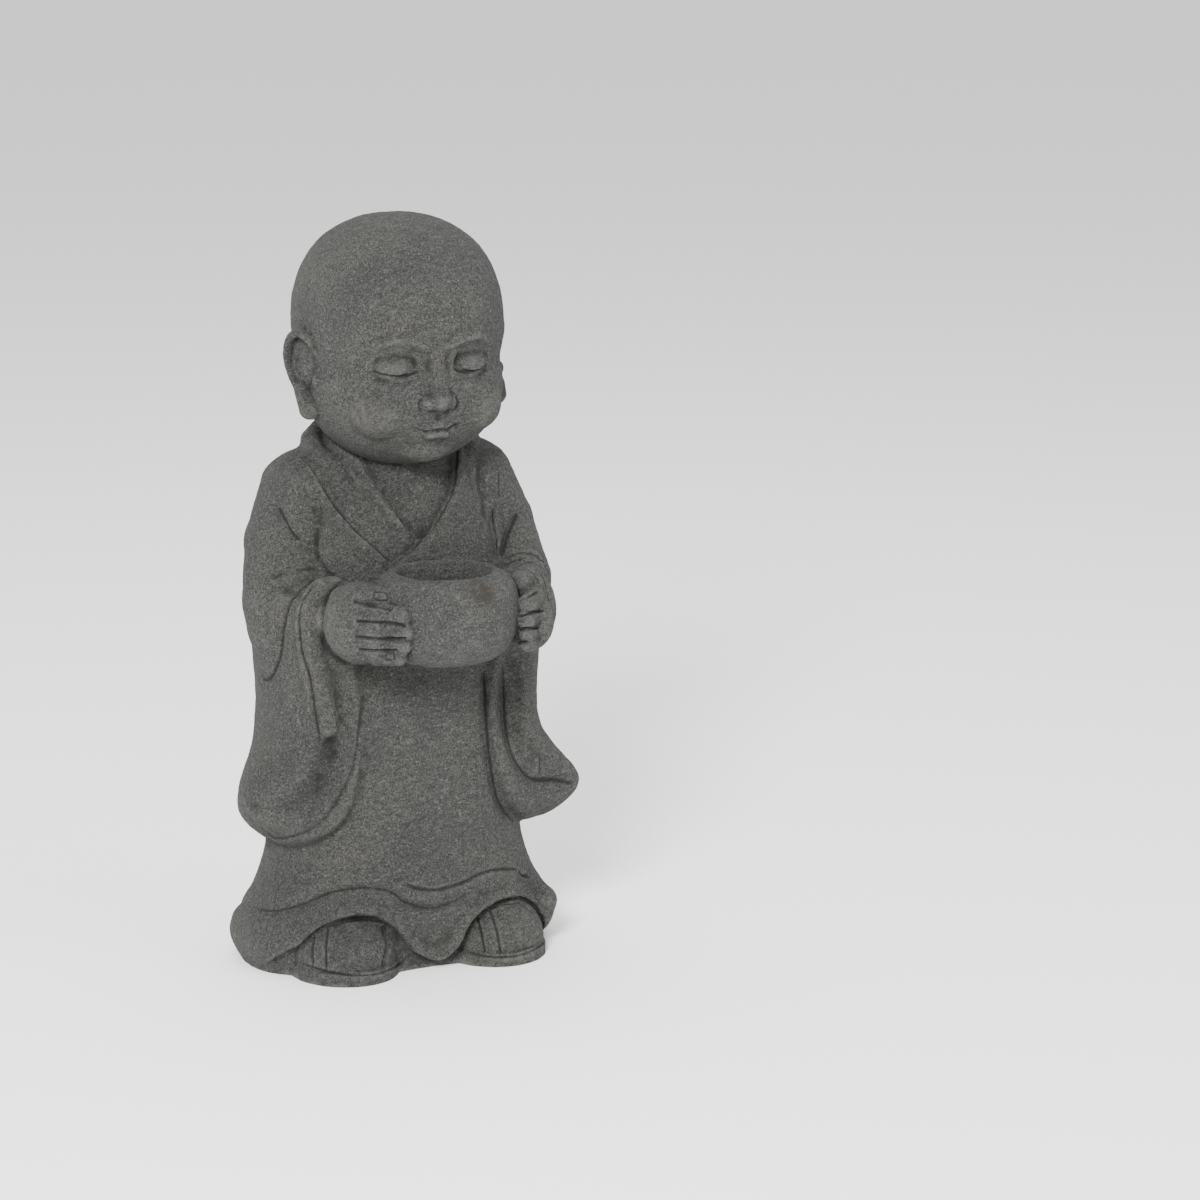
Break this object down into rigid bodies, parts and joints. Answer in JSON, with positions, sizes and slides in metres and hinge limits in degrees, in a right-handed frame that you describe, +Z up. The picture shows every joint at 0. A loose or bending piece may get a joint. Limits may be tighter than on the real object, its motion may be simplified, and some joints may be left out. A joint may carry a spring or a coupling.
{
  "type": "monk statue",
  "caption": "Standing child monk of cast stone in a long-sleeved robe, holding a round open bowl before the belly; a garden or indoor figure that stands by its own weight.",
  "frame": {"origin": "middle of the figure's bounding box, on the flat underside it stands on", "axes": "+Z up along the figure's height; the figure faces -Y, and its own right hand is at -X"},
  "size_m": [0.2826, 0.271, 0.6],
  "materials": {
    "cast_stone": "matte, fine pitted and brushed grain, dark grey cast stone"
  },
  "bodies": {
    "root": {"monk_statue": "cast_stone"}
  },
  "joints": []
}
